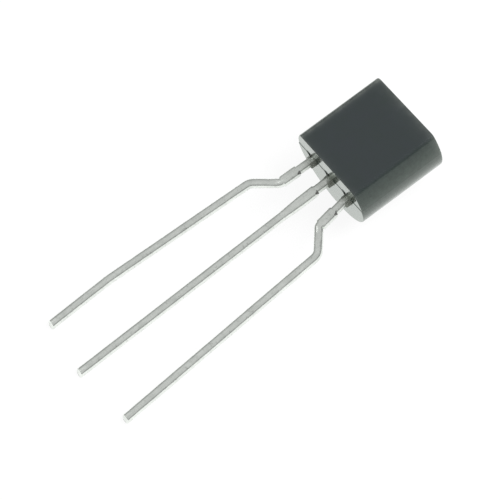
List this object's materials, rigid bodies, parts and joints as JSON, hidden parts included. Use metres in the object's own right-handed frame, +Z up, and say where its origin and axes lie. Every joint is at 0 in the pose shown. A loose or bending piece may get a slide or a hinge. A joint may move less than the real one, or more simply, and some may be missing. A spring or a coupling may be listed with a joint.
{
  "type": "to-92 transistor",
  "caption": "Small three-lead transistor in a half-round moulded epoxy case with a flat front, its tinned leads spread by bends below the case, lying on its back.",
  "frame": {"origin": "middle of the part's outline seen from above, on the surface that it lies on", "axes": "+Z up, with the flat face upwards; +Y from the lead tips towards the case; +X to the right when the flat face is seen with the leads pointing down"},
  "size_m": [0.0062, 0.018, 0.004],
  "materials": {
    "case_epoxy": "dark slate-grey moulded epoxy, fine satin",
    "tinned_lead": "dull tin plating",
    "silicon": "polished dark grey",
    "die_attach": "dull silver-filled paste",
    "bond_wire": "bright gold"
  },
  "bodies": {
    "root": {"epoxy_case": "case_epoxy", "left_lead": "tinned_lead", "middle_lead": "tinned_lead", "right_lead": "tinned_lead", "silicon_die": "silicon", "die_attach_layer": "die_attach", "left_bond_wire": "bond_wire", "right_bond_wire": "bond_wire"}
  },
  "joints": []
}
